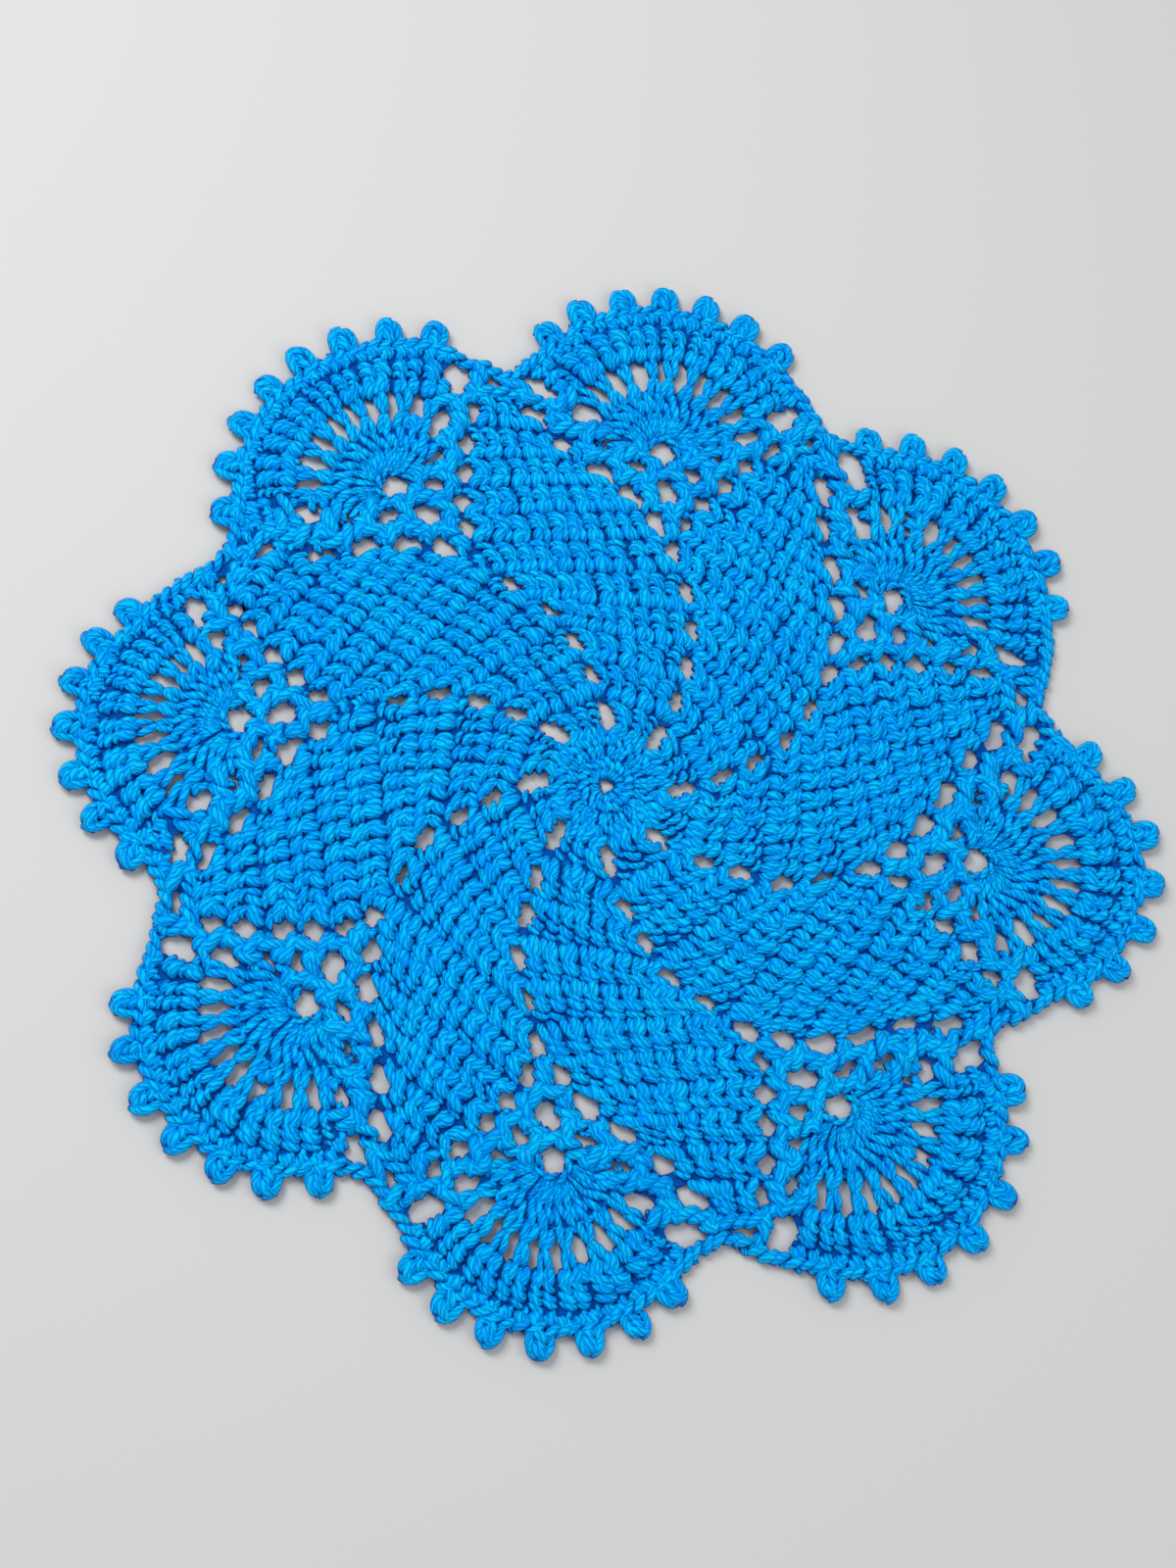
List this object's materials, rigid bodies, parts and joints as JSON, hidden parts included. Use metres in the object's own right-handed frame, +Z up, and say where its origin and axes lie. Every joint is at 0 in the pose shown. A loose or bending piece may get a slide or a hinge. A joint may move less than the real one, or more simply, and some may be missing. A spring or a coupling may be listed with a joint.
{
  "type": "crochet placemat",
  "caption": "Round crochet placemat with a swirling solid centre, open mesh and a border of shell fans edged with picots.",
  "frame": {"origin": "on the surface under the mat, at the middle of its bounding box", "axes": "+Z up through the mat, +X and +Y in its plane"},
  "size_m": [0.3466, 0.3424, 0.004],
  "materials": {
    "azure_yarn": "bright azure, softly shining plied yarn"
  },
  "bodies": {
    "root": {"crochet_mat": "azure_yarn"}
  },
  "joints": []
}
